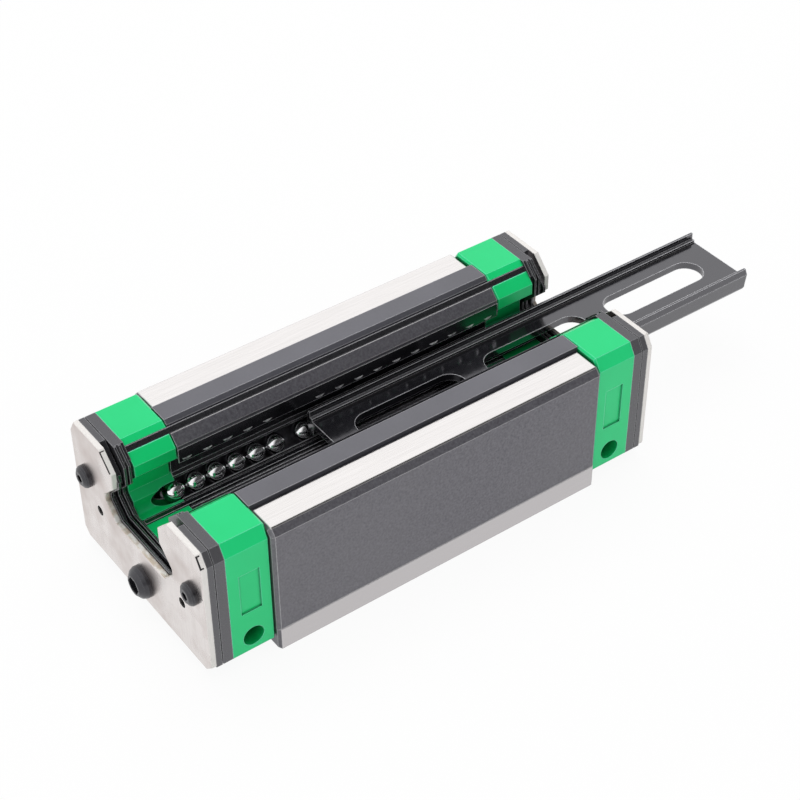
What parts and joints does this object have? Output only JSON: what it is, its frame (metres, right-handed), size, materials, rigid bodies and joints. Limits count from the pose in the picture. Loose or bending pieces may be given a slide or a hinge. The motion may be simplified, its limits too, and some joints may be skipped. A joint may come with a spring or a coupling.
{
  "type": "linear guide carriage with transport rail",
  "caption": "Long square ball carriage for a profiled linear guide rail, lying on its mounting face with its plastic transport rail half drawn out.",
  "frame": {"origin": "centre of the flat mounting face, which lies on the table", "axes": "+Z away from the mounting face towards the rail groove, +Y along the rail towards the end where the transport rail sticks out, +X across the rail towards the datum side that faces the camera in the picture"},
  "size_m": [0.06, 0.1802, 0.0379],
  "materials": {
    "ground_steel": "ground, with dark phosphated sides between the ground lands",
    "cap_plastic": "moulded, satin",
    "inner_plastic": "moulded",
    "seal_rubber": "satin rubber",
    "scraper_steel": "brushed stainless plate",
    "black_steel": "black oxide",
    "ball_steel": "polished bearing steel",
    "retainer_plastic": "moulded",
    "seal_plate": "dark sheet steel with a rubber edge",
    "rail_plastic": "moulded, glossy"
  },
  "bodies": {
    "carriage": {"carriage_block": "ground_steel", "front_end_cap": "cap_plastic", "rear_end_cap": "cap_plastic", "front_turn_guides": "inner_plastic", "rear_turn_guides": "inner_plastic", "front_inner_end_seal": "seal_rubber", "rear_inner_end_seal": "seal_rubber", "front_outer_end_seal": "seal_rubber", "rear_outer_end_seal": "seal_rubber", "front_scraper": "scraper_steel", "rear_scraper": "scraper_steel", "front_cap_screws": "black_steel", "rear_cap_screws": "black_steel", "front_grease_plug": "black_steel", "rear_grease_plug": "black_steel", "right_low_balls": "ball_steel", "right_high_balls": "ball_steel", "left_low_balls": "ball_steel", "left_high_balls": "ball_steel", "centre_retainer": "retainer_plastic", "right_side_retainer": "retainer_plastic", "right_lip_retainer": "retainer_plastic", "left_side_retainer": "retainer_plastic", "left_lip_retainer": "retainer_plastic", "right_bottom_seal_plate": "seal_plate", "left_bottom_seal_plate": "seal_plate", "right_bottom_seal_strip": "seal_rubber", "left_bottom_seal_strip": "seal_rubber"},
    "transport_rail_body": {"transport_rail": "rail_plastic"}
  },
  "joints": [
    {"name": "transport_rail_slide", "type": "slide", "parent": "carriage", "child": "transport_rail_body", "axis": [0, 1, 0], "range_m": [-0.177, 0.074]}
  ]
}
